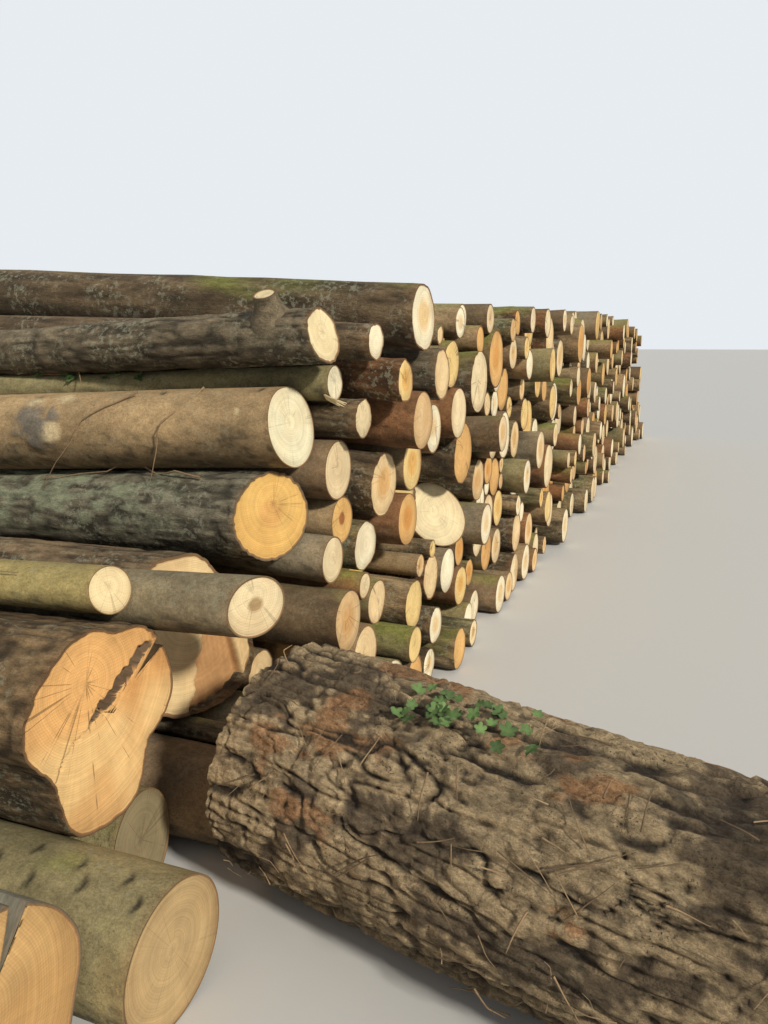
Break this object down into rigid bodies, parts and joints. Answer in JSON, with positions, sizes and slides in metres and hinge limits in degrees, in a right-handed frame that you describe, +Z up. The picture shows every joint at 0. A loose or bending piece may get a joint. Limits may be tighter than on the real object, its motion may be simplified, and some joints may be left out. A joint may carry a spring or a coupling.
{
  "type": "stack of logs",
  "caption": "Roadside stack of felled roundwood cut to one length, its sawn ends roughly in one face, with a heavy bark-covered butt log lying askew on the ground in front.",
  "frame": {"origin": "middle of the footprint of the whole stack, on the ground", "axes": "+X along the logs, out of the sawn face; +Y along the stack away from its near end; +Z up"},
  "size_m": [6.423, 14.1234, 2.0981],
  "materials": {
    "furrowed_oak": "deeply furrowed bark with moss and dirt",
    "smooth_beech": "smooth grey-green bark, pale sawn ends",
    "smooth_stem": "smooth tan-brown bark, cream sawn ends",
    "mossy_stem": "green mossy bark, pale sawn ends",
    "furrowed_stem": "rough bark with lichen, orange sawn ends",
    "mixed_roundwood": "mixed weathered bark, pale sawn ends"
  },
  "bodies": {
    "root": {"bay_1_lower_logs": "mixed_roundwood", "bay_1_middle_logs": "mixed_roundwood", "bay_1_upper_logs": "mixed_roundwood", "bay_2_lower_logs": "mixed_roundwood", "bay_2_middle_logs": "mixed_roundwood", "bay_2_upper_logs": "mixed_roundwood", "bay_3_lower_logs": "mixed_roundwood", "bay_3_middle_logs": "mixed_roundwood", "bay_3_upper_logs": "mixed_roundwood", "bay_4_lower_logs": "mixed_roundwood", "bay_4_middle_logs": "mixed_roundwood", "bay_4_upper_logs": "mixed_roundwood", "bay_5_lower_logs": "mixed_roundwood", "bay_5_middle_logs": "mixed_roundwood", "bay_5_upper_logs": "mixed_roundwood", "bay_6_lower_logs": "mixed_roundwood", "bay_6_middle_logs": "mixed_roundwood", "bay_6_upper_logs": "mixed_roundwood", "bent_log": "smooth_stem", "branch_stub_log": "furrowed_stem", "bright_mossy_log": "mossy_stem", "cream_butt_log": "smooth_beech", "dark_green_log": "mossy_stem", "foreground_oak_log": "furrowed_oak", "fork_butt_log": "smooth_beech", "green_log": "mossy_stem", "grey_log": "smooth_stem", "lens_end_log": "furrowed_stem", "lichen_log": "furrowed_stem", "mossy_wedge_log": "mossy_stem", "orange_heart_log": "mixed_roundwood", "pale_knot_log": "smooth_stem", "plank_end_log": "mixed_roundwood", "seamed_butt_log": "smooth_beech", "shadowed_end_log": "mixed_roundwood", "slab_end_log": "mixed_roundwood", "smooth_beech_log": "smooth_beech", "torn_end_log": "smooth_stem", "yellow_end_log": "mixed_roundwood"}
  },
  "joints": []
}
